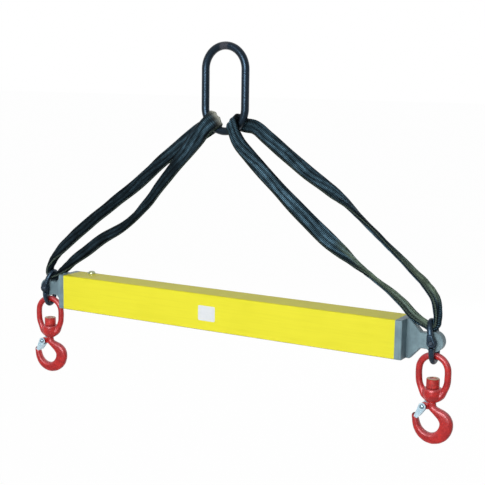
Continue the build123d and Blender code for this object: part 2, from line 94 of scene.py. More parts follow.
def carried(path, across, other, half, section, power):
    # section carried along a path: x = half width times cosine to the power 2 / p, y the same with
    # sine, round the angles in section; each end is closed by a fan to its own middle
    x, y = superellipse(section, half[:, :1], half[:, 1:], power)
    points = path[:, None] + x[..., None] * across[:, None] + y[..., None] * other[:, None]
    rows, columns = x.shape
    faces = gridFaces(rows, columns).tolist()
    j = np.arange(columns)
    beside = (j + 1) % columns
    first, last = rows * columns, rows * columns + 1
    faces += np.stack([beside, j, np.full(columns, first)], -1).tolist()
    faces += np.stack([j + (rows - 1) * columns, beside + (rows - 1) * columns,
                       np.full(columns, last)], -1).tolist()
    return np.concatenate([points.reshape(-1, 3), path[:1], path[-1:]]), faces


def superellipse(angle, halfX, halfY, power):
    c, s = np.cos(angle), np.sin(angle)
    shape = 2 / power
    return (halfX * np.sign(c) * np.abs(c) ** shape, halfY * np.sign(s) * np.abs(s) ** shape)


def turned(profile, steps):
    # a closed profile of (radius, height) rows carried round the vertical axis
    angle = np.arange(steps) * 2 * pi / steps
    r, z = profile.T
    points = np.stack([r * np.cos(angle)[:, None], r * np.sin(angle)[:, None],
                       np.broadcast_to(z, (steps, len(z)))], -1)
    return points.reshape(-1, 3), gridFaces(steps, len(z), True).tolist()


def joined(shells):
    points, faces, count = [], [], 0
    for shellPoints, shellFaces in shells:
        points.append(shellPoints)
        faces += [[corner + count for corner in face] for face in shellFaces]
        count += len(shellPoints)
    return np.concatenate(points), faces


def pointsOf(mesh):
    points = np.empty(len(mesh.vertices) * 3)
    mesh.vertices.foreach_get("co", points)
    return points.reshape(-1, 3)


def movePoints(mesh, points):
    mesh.vertices.foreach_set("co", points.ravel())
    mesh.polygons.foreach_set("use_smooth", np.ones(len(mesh.polygons), bool))
    mesh.update()


def writeValues(piece, name, values):
    layer = piece.data.attributes.new(name, "FLOAT", "POINT")
    layer.data.foreach_set("value", values.ravel().astype(np.float32))


def coat(piece, material):
    piece.data.materials.clear()
    piece.data.materials.append(material)


def coatNodes(names, material):
    for name in names:
        coat(nodes[name], material)


def placed(name, mesh):
    piece = bpy.data.objects.new(name, mesh)
    bpy.context.scene.collection.objects.link(piece)
    return piece


def makePiece(name, points, faces):
    mesh = bpy.data.meshes.new(name)
    mesh.from_pydata(points.tolist(), [], faces)
    mesh.polygons.foreach_set("use_smooth", np.ones(len(mesh.polygons), bool))
    return placed(name, mesh)


def copyOf(name):
    # a CAD node's own mesh with its doubled points merged
    work = bmesh.new()
    work.from_mesh(nodes[name].data)
    bmesh.ops.remove_doubles(work, verts=work.verts, dist=1e-6)
    mesh = bpy.data.meshes.new(name + "Forged")
    work.to_mesh(mesh)
    work.free()
    return placed(mesh.name, mesh)


def ripple(points, grain, seed):
    # sum of twelve sine waves in seeded directions, with wavelengths from one to three grains,
    # brought back to about one by its spread
    waves, spread = 12, 3.5
    random = np.random.default_rng(seed)
    total = np.zeros(len(points))
    for direction, stretch, phase in zip(unit(random.normal(size=(waves, 3))),
                                         random.uniform(1, 3, waves),
                                         random.uniform(0, 2 * pi, waves)):
        total += np.sin(points @ direction * 2 * pi / (grain * stretch) + phase)
    return total / spread


def forge(piece, look):
    # closed shells melted into one skin and smoothed like a forging; then every point moves along
    # its normal by the ripple times the unevenness
    skin = piece.modifiers.new("skin", "REMESH")
    skin.mode = "VOXEL"
    skin.voxel_size = look["skin"] * 1
    skin.use_smooth_shade = True
    ease = piece.modifiers.new("ease", "SMOOTH")
    ease.factor = 0.5
    ease.iterations = look["smoothing"]
    seen = piece.evaluated_get(bpy.context.evaluated_depsgraph_get())
    mesh = bpy.data.meshes.new_from_object(seen)
    piece.modifiers.clear()
    piece.data = mesh
    points = pointsOf(mesh)
    normals = np.empty(len(mesh.vertices) * 3)
    mesh.vertex_normals.foreach_get("vector", normals)
    height = ripple(points, look["grain"], look["seed"]) * look["unevenness"]
    movePoints(mesh, points + normals.reshape(-1, 3) * height[:, None])
    return piece


def startMaterial(name, **values):
    material = bpy.data.materials.new(name)
    material.use_nodes = True
    tree = material.node_tree
    tree.nodes.clear()
    output = tree.nodes.new("ShaderNodeOutputMaterial")
    shader = tree.nodes.new("ShaderNodeBsdfPrincipled")
    tree.links.new(shader.outputs[0], output.inputs[0])
    for socket, value in values.items():
        shader.inputs[socket].default_value = value
    return material, tree, shader


def node(tree, kind, inputs=None, **settings):
    made = tree.nodes.new("ShaderNode" + kind)
    for key, value in settings.items():
        setattr(made, key, value)
    for key, value in (inputs or {}).items():
        if isinstance(value, bpy.types.NodeSocket):
            tree.links.new(value, made.inputs[key])
        else:
            made.inputs[key].default_value = value
    return made


def maths(tree, operation, *values):
    return node(tree, "Math", dict(enumerate(values)), operation=operation).outputs[0]


def product(tree, first, *others):
    for value in others:
        first = maths(tree, "MULTIPLY", first, value)
    return first


def blendOf(tree, share, first, second):
    made = node(tree, "Mix", data_type="RGBA", blend_type="MIX")
    for socket, value in zip((made.inputs[0], made.inputs[6], made.inputs[7]),
                             (share, first, second)):
        if isinstance(value, bpy.types.NodeSocket):
            tree.links.new(value, socket)
        else:
            socket.default_value = value
    return made.outputs[2]


def overpaint(tree, shader, share, tone):
    # tone laid by its share over whatever the base colour shows so far
    base = shader.inputs["Base Color"]
    tree.links.new(blendOf(tree, share, base.links[0].from_socket, tone), base)


def objectPlace(tree):
    return node(tree, "TexCoord").outputs["Object"]


def valueOf(tree, name):
    return node(tree, "Attribute", attribute_name=name).outputs["Fac"]


def grain(tree, place, scale, detail=3.0, rough=0.55):
    return node(tree, "TexNoise", {"Vector": place, "Scale": scale, "Detail": detail,
                                   "Roughness": rough}).outputs[0]


def ramp(tree, value, low, high):
    return node(tree, "MapRange", {"Value": value, "From Min": low, "From Max": high},
                interpolation_type="SMOOTHSTEP").outputs[0]


def raised(tree, shader, height, depth, distance=mm):
    bump = node(tree, "Bump", {"Height": height, "Strength": depth, "Distance": distance})
    tree.links.new(bump.outputs[0], shader.inputs["Normal"])


def colour(red, green, blue):
    # screen values from 0 to 255 turned into the light values that a shader takes
    c = np.array([red, green, blue]) / 255
    linear = np.where(c <= 0.04045, c / 12.92, ((c + 0.055) / 1.055) ** 2.4)
    return (*linear.tolist(), 1.0)


paintGrain = {"patches": (0.38, 0.66), "specks": (0.55, 0.75), "swell": 1.5, "swellScale": 3}


def forgedPaint(name, look):
    # paint over scale: broad tone patches, fine speckle, worn specks, and a pitted bump
    material, tree, shader = startMaterial(name, **{"Roughness": look["roughness"],
                                                    "Specular IOR Level": look["gloss"],
                                                    "Specular Tint": colour(*look["tint"])})
    place = objectPlace(tree)
    broad = ramp(tree, grain(tree, place, look["patch"]), *paintGrain["patches"])
    speck = ramp(tree, grain(tree, place, look["pit"], detail=4.0, rough=0.7),
                 *paintGrain["specks"])
    tone = blendOf(tree, broad, colour(*look["dark"]), colour(*look["base"]))
    tone = blendOf(tree, product(tree, speck, look["wear"]), tone, colour(*look["worn"]))
    tree.links.new(tone, shader.inputs["Base Color"])
    swell = grain(tree, place, look["patch"] * paintGrain["swellScale"])
    height = maths(tree, "ADD", grain(tree, place, look["pit"], detail=5.0, rough=0.65),
                   product(tree, swell, paintGrain["swell"]))
    raised(tree, shader, height, look["bump"])
    return material, tree, shader


def both(*names):
    return [f"{name}_{side}" for name in names for side in sides]


linkPaint = {"base": (12, 18, 26), "dark": (4, 6, 9), "worn": (92, 106, 118), "roughness": 0.3,
             "gloss": 0.42, "tint": (150, 190, 226), "patch": 60.0, "pit": 620.0, "wear": 0.25,
             "bump": 0.22, "weldTone": (60, 57, 60), "weldHalf": 0.008, "weldSoft": (1.5, 0.7),
             "weldTop": -0.004, "weldFade": 0.01, "weldGrain": 180.0, "weldWander": 0.008}
material, tree, shader = forgedPaint("linkPaint", linkPaint)
place = objectPlace(tree)
split = node(tree, "SeparateXYZ", {0: place})
# the weld on the top bow, by the distance from the middle with a wandering edge, and by height
wander = maths(tree, "SUBTRACT", grain(tree, place, linkPaint["weldGrain"]), 0.5)
fromMiddle = maths(tree, "ABSOLUTE", maths(tree, "ADD", split.outputs[0],
                                           product(tree, wander, linkPaint["weldWander"])))
reach = [linkPaint["weldHalf"] * part for part in linkPaint["weldSoft"]]
high = ramp(tree, split.outputs[2], linkPaint["weldTop"] - linkPaint["weldFade"],
            linkPaint["weldTop"])
nearWeld = product(tree, ramp(tree, fromMiddle, *reach), high)
overpaint(tree, shader, nearWeld, colour(*linkPaint["weldTone"]))
coatNodes(["master_link"], material)

couplingPaint = {"base": (28, 39, 52), "dark": (8, 12, 18), "worn": (112, 144, 168),
                 "roughness": 0.3, "gloss": 0.5, "tint": (160, 200, 232), "patch": 120.0,
                 "pit": 700.0, "wear": 0.45, "bump": 0.3}
couplingMaterial = forgedPaint("couplingPaint", couplingPaint)[0]

hookPaint = {"base": (191, 37, 32), "dark": (160, 23, 22), "worn": (214, 84, 80),
             "roughness": 0.32, "gloss": 0.5, "tint": (255, 208, 216), "patch": 85.0,
             "pit": 460.0, "wear": 0.45, "bump": 0.24, "tipTone": (92, 34, 30),
             # the last three values give a painted highlight, pink on faces that point up
             "highlightTone": (226, 124, 130), "highlightShare": 0.38, "highlightFull": 0.75}
hookMaterial, tree, shader = forgedPaint("hookPaint", hookPaint)
# painted highlight: a little pink where the paint faces up
upwards = node(tree, "SeparateXYZ", {0: node(tree, "TexCoord").outputs["Normal"]}).outputs[2]
upwardHighlight = product(tree, ramp(tree, upwards, 0.0, hookPaint["highlightFull"]), hookPaint["highlightShare"])
overpaint(tree, shader, upwardHighlight, colour(*hookPaint["highlightTone"]))
overpaint(tree, shader, valueOf(tree, "bareTip"), colour(*hookPaint["tipTone"]))

nutPaint = {"base": (198, 46, 40), "dark": (160, 30, 28), "worn": (214, 96, 84),
            "roughness": 0.34, "gloss": 0.5, "tint": (255, 220, 220), "patch": 120.0,
            "pit": 520.0, "wear": 0.4, "bump": 0.35, "topTone": (196, 168, 128),
            "topMarks": (104, 84, 62), "topEdge": (0.0009, 0.0003), "markGrain": 420.0,
            "marks": (0.5, 0.62)}
material, tree, shader = forgedPaint("nutPaint", nutPaint)
place = objectPlace(tree)
height = node(tree, "SeparateXYZ", {0: place}).outputs[2]
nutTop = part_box("swivel_nut_right")[1].z
# bare and marked on its end face, by height
onTop = ramp(tree, height, *[nutTop - below for below in nutPaint["topEdge"]])
marks = ramp(tree, grain(tree, place, nutPaint["markGrain"], detail=4.0, rough=0.7),
             *nutPaint["marks"])
bare = blendOf(tree, marks, colour(*nutPaint["topTone"]), colour(*nutPaint["topMarks"]))
overpaint(tree, shader, onTop, bare)
coatNodes(both("swivel_nut"), material)

composite = {"base": (236, 229, 56), "dark": (229, 222, 50), "roughness": 0.4, "gloss": 0.12,
             "fibre": (10.0, 300.0, 300.0), "streaks": (0.4, 0.7), "patch": 9.0,
             # the under tone is painted shade along the tube's rounded lower edge
             "patches": (0.35, 0.7), "bump": 0.05, "under": (138, 132, 48),
             "underDepth": 0.0016, "underFull": 0.4}
material, tree, shader = startMaterial("yellowComposite", **{
    "Roughness": composite["roughness"], "Specular IOR Level": composite["gloss"]})
place = objectPlace(tree)
along = node(tree, "Mapping", {"Vector": place, "Scale": composite["fibre"]}).outputs[0]
fibres = grain(tree, along, 1.0, detail=4.0, rough=0.6)
patches = ramp(tree, grain(tree, place, composite["patch"], detail=2.0), *composite["patches"])
mean = product(tree, maths(tree, "ADD", ramp(tree, fibres, *composite["streaks"]), patches), 0.5)
tone = blendOf(tree, mean, colour(*composite["base"]), colour(*composite["dark"]))
tree.links.new(tone, shader.inputs["Base Color"])
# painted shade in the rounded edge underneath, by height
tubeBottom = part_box("beam_tube")[0].z
height = node(tree, "SeparateXYZ", {0: place}).outputs[2]
under = ramp(tree, height, tubeBottom + composite["underDepth"],
             tubeBottom + composite["underDepth"] * composite["underFull"])
overpaint(tree, shader, under, colour(*composite["under"]))
raised(tree, shader, fibres, composite["bump"])
coatNodes(["beam_tube"], material)

vinyl = {"tone": (228, 232, 235), "faint": (214, 219, 223), "roughness": 0.4, "patch": 120.0,
         "pit": 800.0, "bump": 0.05}
material, tree, shader = startMaterial("blankVinyl", **{"Roughness": vinyl["roughness"]})
place = objectPlace(tree)
tone = blendOf(tree, grain(tree, place, vinyl["patch"]), colour(*vinyl["tone"]),
               colour(*vinyl["faint"]))
tree.links.new(tone, shader.inputs["Base Color"])
raised(tree, shader, grain(tree, place, vinyl["pit"]), vinyl["bump"])
coatNodes(["blank_label"], material)

metalGrain = {"streaks": (0.3, 0.7), "clouds": (0.35, 0.68), "streakShare": 0.45,
              "relief": 0.0003}


def bareMetal(name, look):
    # drawn metal: streaks along one direction, cloudy tone, fine bump
    material, tree, shader = startMaterial(name, **{"Roughness": look["roughness"],
                                                    "Metallic": look["metallic"],
                                                    "Specular IOR Level": look["gloss"]})
    place = objectPlace(tree)
    drawn = node(tree, "Mapping", {"Vector": place, "Scale": look["streak"]}).outputs[0]
    streaks = grain(tree, drawn, 1.0, detail=4.0, rough=0.65)
    clouds = ramp(tree, grain(tree, place, look["cloud"], rough=0.6), *metalGrain["clouds"])
    part = metalGrain["streakShare"]
    share = maths(tree, "ADD", product(tree, ramp(tree, streaks, *metalGrain["streaks"]), part),
                  product(tree, clouds, 1 - part))
    tone = blendOf(tree, share, colour(*look["dark"]), colour(*look["base"]))
    tree.links.new(tone, shader.inputs["Base Color"])
    raised(tree, shader, streaks, look["bump"], metalGrain["relief"])
    return material


aluminium = {"base": (126, 152, 160), "dark": (99, 121, 130), "roughness": 0.42,
             "metallic": 0.1, "gloss": 0.25, "streak": (900.0, 900.0, 25.0), "cloud": 38.0,
             "bump": 0.25}
coatNodes(both("end_plate", "lug", "spigot"), bareMetal("millFinishAluminium", aluminium))
zinc = {"base": (198, 222, 232), "dark": (160, 190, 206), "roughness": 0.3, "metallic": 0.6,
        "gloss": 0.5, "streak": (420.0, 420.0, 420.0), "cloud": 150.0, "bump": 0.15}
coatNodes(both("latch", "fitting_screws"), bareMetal("brightZinc", zinc))
boltZinc = dict(zinc, base=(150, 178, 190), dark=(96, 120, 134))
boltMaterial = bareMetal("dullZinc", boltZinc)
# the round screw's zinc is tinted yellow-green, a painted reflection of the yellow beam
roundZinc = dict(zinc, base=(186, 194, 160), dark=(150, 160, 128))
coatNodes(["round_screw"], bareMetal("zincWithPaintedReflection", roundZinc))
pinSteel = {"base": (70, 86, 102), "dark": (34, 44, 56), "roughness": 0.36, "metallic": 0.5,
            "gloss": 0.5, "streak": (500.0, 500.0, 500.0), "cloud": 200.0, "bump": 0.2}
coatNodes(both("load_pin", "load_pin_lock", "nut_pin", "latch_spring"),
          bareMetal("pinSteel", pinSteel))
print("materials made")


linkLow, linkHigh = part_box("master_link")
# the thickness of the link's bar
linkWire = 0.0159
linkRadius = linkHigh.x - linkWire / 2
linkBottomCentre = linkLow.z + linkHigh.x
pins = {side: np.array(sum(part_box(f"load_pin_{side}"), Vector()) / 2) for side in sides}


def hookTurn(side):
    axis = joints[f"latch_open_{side}"]["axis"]
    return atan2(axis[0], -axis[1])


def stood(points, side):
    # points given from the pin, x across and y to the back, turned as that side's hook stands
    turn = hookTurn(side)
    x, y, z = points[:, 0], points[:, 1], points[:, 2]
    return pins[side] + np.stack([x * cos(turn) - y * sin(turn),
                                  x * sin(turn) + y * cos(turn), z], -1)


latchBolt = {"wider": 0.006, "foldHighlight": 35.0}
for side in sides:
    for kind in ("bolt", "nut"):
        piece = copyOf(f"latch_{kind}_{side}")
        piece.name = f"latch{kind.capitalize()}{side.capitalize()}"
        points = pointsOf(piece.data)
        # spread along its own axis, so that it clears the latch by a hair
        axis = np.array([-sin(hookTurn(side)), cos(hookTurn(side)), 0])
        points += np.outer((points - pins[side]) @ axis, axis) * latchBolt["wider"]
        movePoints(piece.data, points)
        piece.data.set_sharp_from_angle(angle=radians(latchBolt["foldHighlight"]))
        coat(piece, boltMaterial)
        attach(piece, f"hook_{side}_body")
        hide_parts(f"latch_{kind}_{side}")

sling = {
    # how far round the link's lower bow each sling sits, in degrees from its lowest point
    "hold": {"left": 48.0, "right": 43.0},
    "gap": 0.5, "linkThick": {"left": 12.5, "right": 11.0},
    # widths over the link, from its back to its front
    "wrap": {"left": (32, 35, 37, 34, 32), "right": (27, 31, 34, 31, 27)},
    # how far the ribbon sits off the middle of its seat there, in the same order
    "slip": {"left": (0, 0, 0, -2, -3), "right": (4, 2, 0, -3, -6)},
    "wrapAngles": (90, 45, 0, -45, -90),
    "crown": 38.25, "crownBar": 10.5, "crownGap": 0.6, "crownWidth": 19.5, "crownThick": 12.0,
    "crownAngles": (144, 108, 72, 36, 0),
    # how far each leg starts to the front or back, and the lean of the upper coupling half
    "spread": 18.5, "lean": {"left": 18.0, "right": 12.0},
    "power": 2.5, "rib": 3.0, "ribHeight": 0.26, "samplesPerRib": 4, "sideSteps": 21,
    # the seam: how far it stands out where the ribbon is slack, and its steps round the section
    "fin": 2.6, "finFrom": 20, "finOver": 5, "finEdge": 0.2, "finStep": 0.1, "finHalf": 0.04,
    "finRib": 0.7,
    # folds: depth against half thickness, waves across half the width, how far they wander and
    # in how many waves round the loop
    "folds": ((0.16, 2.6, 1.3, (2, 5, 9)), (0.08, 5.2, 1.6, (3, 7, 12))),
    # how far the width and the ribbon's middle wander, and in how many waves
    "widthWander": 0.012, "widthWaves": (5, 9, 14), "lift": 0.22, "liftWaves": (6, 11, 17),
    "seed": 5,
    # painted highlight, a pale rim over the link: how strong on each sling, then reach along,
    # place and half width to the back
    "worn": {"left": 1.0, "right": 0.12}, "paintedRim": (24.0, 3.0, 9.0),
    # share of the way down to the pins and how strong the painted highlight on the crests is there
    "crestHighlights": {"left": [(0, 1.1), (.08, 1.25), (.2, 0.36), (1, 0.3)],
               "right": [(0, 1.4), (.15, 1.8), (.45, 2.1), (.7, 2.3), (1, 2.1)]},
    # share of the way down and how strongly painted light from above lies on the upper side there
    "skyLight": {"left": [(0, 0), (1, 0)],
               "right": [(.55, 0), (.66, 1), (.93, 1.2), (1, 0.5)]},
    "upFrom": 0.15, "contrast": 2.2,
    # share of the way down, distance off the straight line, width, thickness, twist
    "legs": {
        ("left", "front"): [
            (.06, -8.5, 33, 9, 0), (.15, -15, 29.5, 9, 6), (.24, -22, 26.5, 10, 12),
            (.33, -29, 25, 10, 16), (.42, -37, 23.5, 10, 20), (.5, -40, 20, 11, 24),
            (.57, -37.5, 22, 11, 24), (.68, -25.5, 25, 11.5, 20), (.8, -18.5, 25, 12, 20),
            (.88, -14.5, 23, 13.5, 28), (.945, -14, 20.5, 15, 55)],
        ("left", "rear"): [
            (.06, 7, 36, 9, 0), (.14, 13, 31.5, 9, 6), (.25, 17.5, 27, 10, 12),
            (.42, 17.5, 28.5, 10, 15), (.58, 23, 26.5, 11, 18), (.74, 27.5, 26.5, 12, 18),
            (.83, 28, 26.5, 13, 20), (.91, 26, 25, 14, 30), (.97, 21, 21, 15, 62)],
        ("right", "front"): [
            (.05, -15.5, 26, 11, 4), (.12, -20.5, 26.5, 10, 6), (.28, -26.5, 26, 9, 10),
            (.44, -29.5, 29, 9, 22), (.52, -29.5, 29.5, 9, 28), (.6, -28, 28.5, 9.5, 56),
            (.67, -25.5, 28, 10, 86), (.75, -21.5, 27, 10, 112), (.82, -15.5, 26, 11, 104),
            (.89, -14.5, 24, 14, 96), (.945, -17, 21, 15, 90)],
        ("right", "rear"): [
            (.04, 16, 25, 9, 14), (.11, 20.5, 26, 9, 24), (.2, 24, 26, 9.5, 32),
            (.3, 29, 27, 10, 42), (.44, 38.5, 27, 10, 60), (.52, 41.5, 28, 10, 94),
            (.63, 41.5, 28, 10, 116), (.75, 43, 27, 10.5, 110), (.83, 42.5, 26, 11.5, 104),
            (.9, 42, 24, 13.5, 98), (.96, 36, 21, 15, 92)]},
}


def slingKnots(side):
    # rows of middle point, width direction, width and thickness, once round the endless sling
    hold, lean = radians(sling["hold"][side]), radians(-sides[side] * sling["lean"][side])
    y = np.array([0.0, 1.0, 0.0])
    top = np.array([sides[side] * linkRadius * sin(hold), 0,
                    linkBottomCentre - linkRadius * cos(hold)])
    up = np.array([sin(lean), 0, cos(lean)])
    outboard = sides[side] * np.array([cos(lean), 0, -sin(lean)])
    crown = pins[side] * [1, 0, 1] + up * sling["crown"] * mm
    length = np.linalg.norm(crown - top)
    down = (crown - top) / length
    off = sides[side] * np.array([-down[2], 0, down[0]])
    rows = []

    def knot(point, width, size, thick):
        rows.append([*point, *width, size * mm, thick * mm])

    def leg(place, facing, order):
        for share, bow, size, thick, twist in sling["legs"][side, place][::order]:
            point = (top + down * share * length + off * bow * mm
                     + y * facing * sling["spread"] * mm * (1 - share))
            knot(point, off * cos(radians(twist)) + y * sin(radians(twist)), size, thick)

    thick = sling["linkThick"][side]
    over = linkWire / 2 + (sling["gap"] + thick / 2) * mm
    for angle, size, slip in zip(np.radians(sling["wrapAngles"]), sling["wrap"][side],
                                 sling["slip"][side]):
        knot(top - down * over * cos(angle) + y * over * sin(angle) + off * slip * mm, off,
             size, thick)
    leg("front", -1, 1)
    under = (sling["crownBar"] / 2 + sling["crownGap"] + sling["crownThick"] / 2) * mm
    for angle in np.radians(sling["crownAngles"]):
        knot(crown + outboard * under * cos(angle) - up * under * sin(angle), y,
             sling["crownWidth"], sling["crownThick"])
    leg("rear", 1, -1)
    return np.array(rows)


def makeSling(side):
    # the section is a superellipse carried round the loop. Its thickness is swelled by two sines
    # across the width, the folds; every point is pushed out by a squared sine along the loop, the
    # ribs; and the points at the seam are pulled out into a thin fin
    rows = slingKnots(side)
    step = np.linalg.norm(rows[:, :3] - np.roll(rows[:, :3], 1, 0), axis=1)
    knots = np.cumsum(step)
    total = knots[-1]
    wide = np.concatenate([rows[-4:], rows, rows[:4]])
    at = np.concatenate([knots[-4:] - total, knots, knots[:4] + total])
    ribs = round(total / (sling["rib"] * mm))
    count = ribs * sling["samplesPerRib"]
    share = np.arange(count) / count
    loop = smoothThrough(at, wide, knots[0] + share * total)
    path = loop[:, :3]
    tangent = unit(np.roll(path, -1, 0) - np.roll(path, 1, 0))
    across = unit(loop[:, 3:6] - tangent * np.sum(loop[:, 3:6] * tangent, 1, keepdims=True))
    other = np.cross(tangent, across)
    random = np.random.default_rng(sling["seed"] + sides[side])

    def drift(waves, size):
        # slow wander along the loop: sines with whole numbers of waves, so that its ends meet
        phase = random.uniform(0, 2 * pi, len(waves))
        return size * sum(np.sin(2 * pi * wave * share + p) for wave, p in zip(waves, phase))

    finSteps = np.array([-sling["finStep"], -sling["finHalf"], sling["finHalf"],
                         sling["finStep"]])
    angle = np.concatenate([np.linspace(0, pi - sling["finEdge"], sling["sideSteps"]),
                            pi + finSteps,
                            np.linspace(pi + sling["finEdge"], 2 * pi, sling["sideSteps"])[:-1]])
    atFin = np.isclose(abs(angle - pi), sling["finHalf"])
    halfX = loop[:, 6:7] / 2 * (1 + drift(sling["widthWaves"], sling["widthWander"]))[:, None]
    halfY = loop[:, 7:8] / 2
    x, y = superellipse(angle[None], halfX, halfY, sling["power"])
    fold = 0
    for depth, waves, wander, slow in sling["folds"]:
        fold = fold + depth * np.sin(waves * pi * x / halfX + drift(slow, wander)[:, None])
    fold = fold * np.sign(y)
    y = y * (1 + fold) + drift(sling["liftWaves"], sling["lift"] * mm)[:, None]
    slack = np.clip((loop[:, 6] / mm - sling["finFrom"]) / sling["finOver"], 0, 1)
    x = x - atFin * (sling["fin"] * mm * slack)[:, None]
    rib = (np.sin(pi * share * ribs)[:, None] ** 2 * sling["ribHeight"] * mm
           * (1 - sling["finRib"] * atFin))
    x, y = x + rib * np.cos(angle), y + rib * np.sin(angle)
    points = path[:, None] + x[..., None] * across[:, None] + y[..., None] * other[:, None]
    columns = len(angle)
    piece = makePiece(f"roundsling{side.capitalize()}", points.reshape(-1, 3),
                      gridFaces(count, columns, True).tolist())
    # metres along the loop and turns round the section, for the weave
    i, j = np.meshgrid(np.arange(count), np.arange(columns), indexing="ij")
    u = np.arange(count + 1) / count * total
    v = np.append(angle, 2 * pi) / (2 * pi)
    corners = np.stack([np.stack([u[i], v[j]], -1), np.stack([u[i], v[j + 1]], -1),
                        np.stack([u[i + 1], v[j + 1]], -1), np.stack([u[i + 1], v[j]], -1)], 2)
    layer = piece.data.uv_layers.new(name="cover")
    layer.data.foreach_set("uv", corners.reshape(-1).astype(np.float32))
    # painted highlight: a pale rim over the top of the link, a little to the back, on the outer
    # face
    seat, seatMiddle = rows[2, :3], (rows[0, :3] + rows[4, :3]) / 2
    reach, behind, half = np.array(sling["paintedRim"]) * mm
    offset = points - path[:, None]
    overTop = np.exp(-(np.linalg.norm(path - seat, axis=1) / reach) ** 2)[:, None]
    outer = np.clip(np.sum(offset * unit(seat - seatMiddle), -1) / halfY, 0, 1)
    paintedRim = overTop * outer * np.exp(-((points[..., 1] - behind) / half) ** 2)
    writeValues(piece, "wear", paintedRim * sling["worn"][side])
    # painted highlight on the crests of the folds, painted shade in their hollows and along both
    # edges
    crestHighlight = (np.clip(0.5 + sling["contrast"] * fold * np.sign(y), 0, 1)
             * (1 - np.clip(abs(x / halfX), 0, 1) ** 4))
    linkLowest = linkBottomCentre - linkRadius
    depth = (linkLowest - loop[:, 2]) / (linkLowest - pins[side][2])
    writeValues(piece, "foldHighlight",
                crestHighlight * np.interp(depth, *np.transpose(sling["crestHighlights"][side]))[:, None])
    # painted light from above: a pale green-grey on faces turned up, mostly on the right sling's
    # lower legs
    upward = np.clip((unit(offset)[..., 2] - sling["upFrom"]) * sling["contrast"], 0, 1)
    writeValues(piece, "skyLight",
                upward * np.interp(depth, *np.transpose(sling["skyLight"][side]))[:, None])
    print("sling", side, "length", round(float(total), 3), "rows", count)
    return piece


# several of these tones are painted light: highlights on the ribs and fold crests, a sheen, light
# from above on upper faces and a pale rim over the link
cover = {"base": (3, 4, 5), "rib": (13, 19, 23), "crestHighlight": (106, 144, 166),
         "sheen": (96, 128, 138), "rimHighlight": (246, 247, 230), "stitch": (124, 140, 136),
         "seam": (70, 86, 74), "bleached": (166, 190, 160), "roughness": 0.45,
         "gloss": 0.025, "tint": (170, 214, 232), "sheenWeight": 0.01, "sheenRoughness": 0.4,
         "bump": 0.4, "threads": 0.0011, "aroundThreads": 52.0, "threadHeight": 0.35,
         "patch": 34.0, "patches": (0.36, 0.68), "sheenSpeckGrain": 520.0, "sheenSpecks": (0.52, 0.72),
         "floor": 0.4, "ribGain": 0.6, "skyLightGain": 0.4, "stitchLength": 0.0042,
         "stitchGap": 0.3, "stitchFrom": (0.012, 0.016), "stitchTo": (0.030, 0.025),
         "seamEdge": (0.012, 0.006),
         "shares": {"crestHighlight": 0.85, "sheen": 0.3, "rimHighlight": 0.95, "stitch": 0.55}}
coverMaterial, tree, shader = startMaterial("slingCover", **{
    "Roughness": cover["roughness"], "Specular IOR Level": cover["gloss"],
    "Specular Tint": colour(*cover["tint"]), "Sheen Weight": cover["sheenWeight"],
    "Sheen Roughness": cover["sheenRoughness"], "Sheen Tint": colour(*cover["sheen"])})


def layCover(shares, name):
    # the named tone by the product of its shares, over the tones before it
    overpaint(tree, shader, product(tree, *shares, cover["shares"].get(name, 1.0)),
              colour(*cover[name]))


def fromFloor(value, gain):
    return maths(tree, "ADD", product(tree, value, gain), cover["floor"])


weave = node(tree, "SeparateXYZ", {0: node(tree, "UVMap", uv_map="cover").outputs[0]})
alongCover, aroundCover = weave.outputs[0], weave.outputs[1]
place = objectPlace(tree)
# rib: squared sine of the way along; threads: product of a sine along and a sine around
ribWave = maths(tree, "POWER", maths(tree, "ABSOLUTE", maths(
    tree, "SINE", product(tree, alongCover, pi / (sling["rib"] * mm)))), 2.0)
threads = product(tree, maths(tree, "SINE", product(tree, alongCover, 2 * pi / cover["threads"])),
                  maths(tree, "SINE", product(tree, aroundCover, 2 * pi * cover["aroundThreads"])))
patches = ramp(tree, grain(tree, place, cover["patch"], rough=0.6), *cover["patches"])
sheenSpecks = ramp(tree, grain(tree, place, cover["sheenSpeckGrain"], detail=4.0, rough=0.7), *cover["sheenSpecks"])
# painted highlight: the lighter rib tone on the crest of each rib, more in some patches
lit = product(tree, ribWave, fromFloor(patches, cover["ribGain"]))
crestHighlight = valueOf(tree, "foldHighlight")
tree.links.new(blendOf(tree, lit, colour(*cover["base"]), colour(*cover["rib"])),
               shader.inputs["Base Color"])
# painted highlight on the fold crests
layCover((crestHighlight, lit), "crestHighlight")
# painted sheen: the sheen tone in fine specks on the fold crests
layCover((sheenSpecks, crestHighlight), "sheen")
# painted light from above on the upper faces
layCover((valueOf(tree, "skyLight"), fromFloor(patches, cover["skyLightGain"])), "bleached")
# painted highlight: the pale rim over the link
layCover((valueOf(tree, "wear"),), "rimHighlight")
# stitches: a dashed line just inside the fin, at half the way round
fromFin = maths(tree, "ABSOLUTE", maths(tree, "SUBTRACT", aroundCover, 0.5))
inLine = product(tree, ramp(tree, fromFin, *cover["stitchFrom"]),
                 ramp(tree, fromFin, *cover["stitchTo"]))
dash = maths(tree, "GREATER_THAN", maths(tree, "FRACT", maths(
    tree, "DIVIDE", alongCover, cover["stitchLength"])), cover["stitchGap"])
layCover((inLine, dash), "stitch")
layCover((ramp(tree, fromFin, *cover["seamEdge"]),), "seam")
raised(tree, shader, maths(tree, "ADD", ribWave, product(tree, threads, cover["threadHeight"])),
       cover["bump"])

for side in sides:
    piece = makeSling(side)
    coat(piece, coverMaterial)
    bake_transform(piece)
    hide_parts(f"sling_cover_{side}", f"sling_core_{side}")

